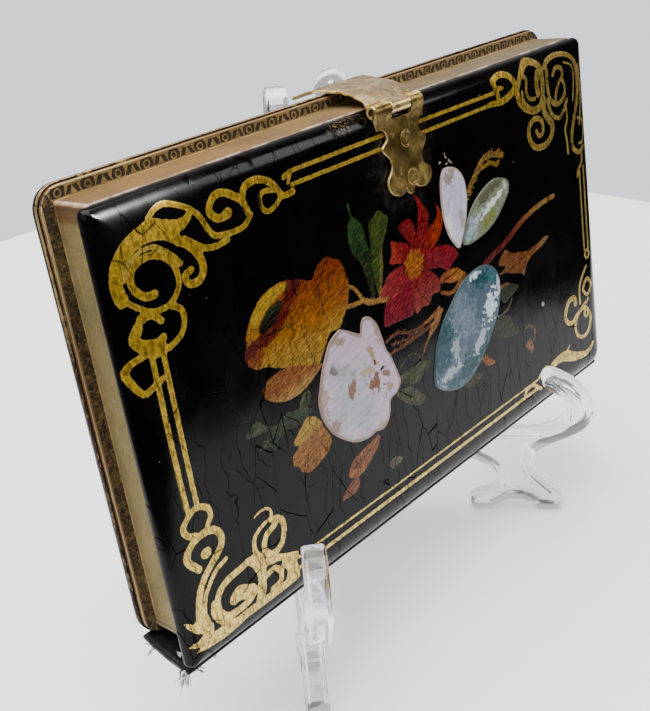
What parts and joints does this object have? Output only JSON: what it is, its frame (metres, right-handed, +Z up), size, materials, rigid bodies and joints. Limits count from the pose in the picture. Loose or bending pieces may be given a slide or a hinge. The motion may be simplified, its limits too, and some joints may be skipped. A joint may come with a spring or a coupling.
{
  "type": "book-form card case on a folding easel",
  "caption": "Victorian book-form card case in black lacquered papier-mache with gilt scrolls, painted flowers and pearl shell, on a clear easel.",
  "frame": {"origin": "on the table, under the middle of the whole object's bounding box", "axes": "+Z up, +X along the case's long side, the painted front facing -Y and leaning back towards +Y"},
  "size_m": [0.1144, 0.05, 0.0881],
  "materials": {
    "lacquer": "black lacquered papier-mache, gilt and painted, crackled",
    "rim_paper": "tan gilt paper over pressed card, matt",
    "tooled_leather": "thin brown leather with gilt tooling, rubbed",
    "spine_leather": "black leather, frayed at the ends",
    "brass": "stamped brass, dulled",
    "mother_of_pearl": "polished shell",
    "clear_plastic": "clear moulded plastic"
  },
  "bodies": {
    "root": {"back_board": "lacquer", "lining": "tooled_leather", "tray": "rim_paper", "spine": "spine_leather", "easel_left": "clear_plastic", "easel_right": "clear_plastic", "easel_pin": "clear_plastic"},
    "cover": {"front_board": "lacquer", "shell_white_petal": "mother_of_pearl", "shell_green_petal": "mother_of_pearl", "shell_blue_oval": "mother_of_pearl", "shell_pink_blossom": "mother_of_pearl", "hasp_plate": "brass", "rivet_upper": "brass", "rivet_lower": "brass", "clasp_pin": "brass"},
    "clasp": {"clasp_strap": "brass"}
  },
  "joints": [
    {"name": "cover_hinge", "type": "hinge", "parent": "root", "child": "cover", "pos_m": [0.0002, -0.013, 0.02089], "axis": [1, 0, 0], "range_deg": [0, 9]},
    {"name": "clasp_hinge", "type": "hinge", "parent": "cover", "child": "clasp", "pos_m": [-0.0008, -0.00258, 0.08652], "axis": [1, 0, 0], "range_deg": [0, 190]}
  ]
}
